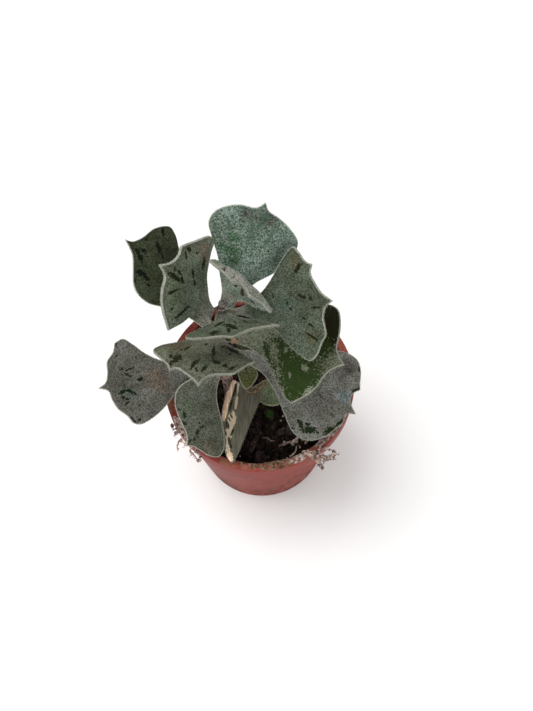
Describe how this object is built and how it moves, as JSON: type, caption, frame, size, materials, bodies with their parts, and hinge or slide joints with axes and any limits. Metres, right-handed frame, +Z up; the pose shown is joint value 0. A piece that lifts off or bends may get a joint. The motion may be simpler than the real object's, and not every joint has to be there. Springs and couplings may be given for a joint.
{
  "type": "potted succulent plant",
  "caption": "Small round nursery pot holding a succulent with felted, wedge-shaped, toothed leaves on a short upright woody stem.",
  "frame": {"origin": "centre of the pot's flat underside", "axes": "+Z up along the pot's axis, -Y towards the side that the picture is taken from, +X to the right as seen from there"},
  "size_m": [0.0721, 0.055, 0.1131],
  "materials": {
    "pot": "satin",
    "soil": "matte",
    "stem": "matte",
    "leaf_grey_green": "matte",
    "leaf_blue_green": "matte",
    "leaf_deep_green": "matte",
    "leaf_grey_brown": "matte",
    "leaf_olive": "matte",
    "leaf_dry": "matte",
    "roots": "matte",
    "crust": "matte"
  },
  "bodies": {
    "root": {"pot": "pot", "soil": "soil", "stem": "stem", "leaf_tip_rear": "leaf_grey_green", "leaf_tip_front": "leaf_grey_green", "leaf_left_upper": "leaf_grey_green", "leaf_right_upper": "leaf_grey_green", "leaf_rear": "leaf_blue_green", "leaf_front": "leaf_grey_green", "leaf_left_rear": "leaf_deep_green", "leaf_right_middle": "leaf_deep_green", "leaf_right_lower": "leaf_grey_brown", "leaf_left_lower": "leaf_grey_brown", "leaf_front_left": "leaf_grey_brown", "leaf_dry": "leaf_dry", "shoot_leaf_upper": "leaf_olive", "shoot_leaf_lower": "leaf_olive", "seedling_leaf": "leaf_deep_green", "roots_right": "roots", "roots_left": "roots", "crust_front": "crust", "crust_right": "crust"}
  },
  "joints": []
}
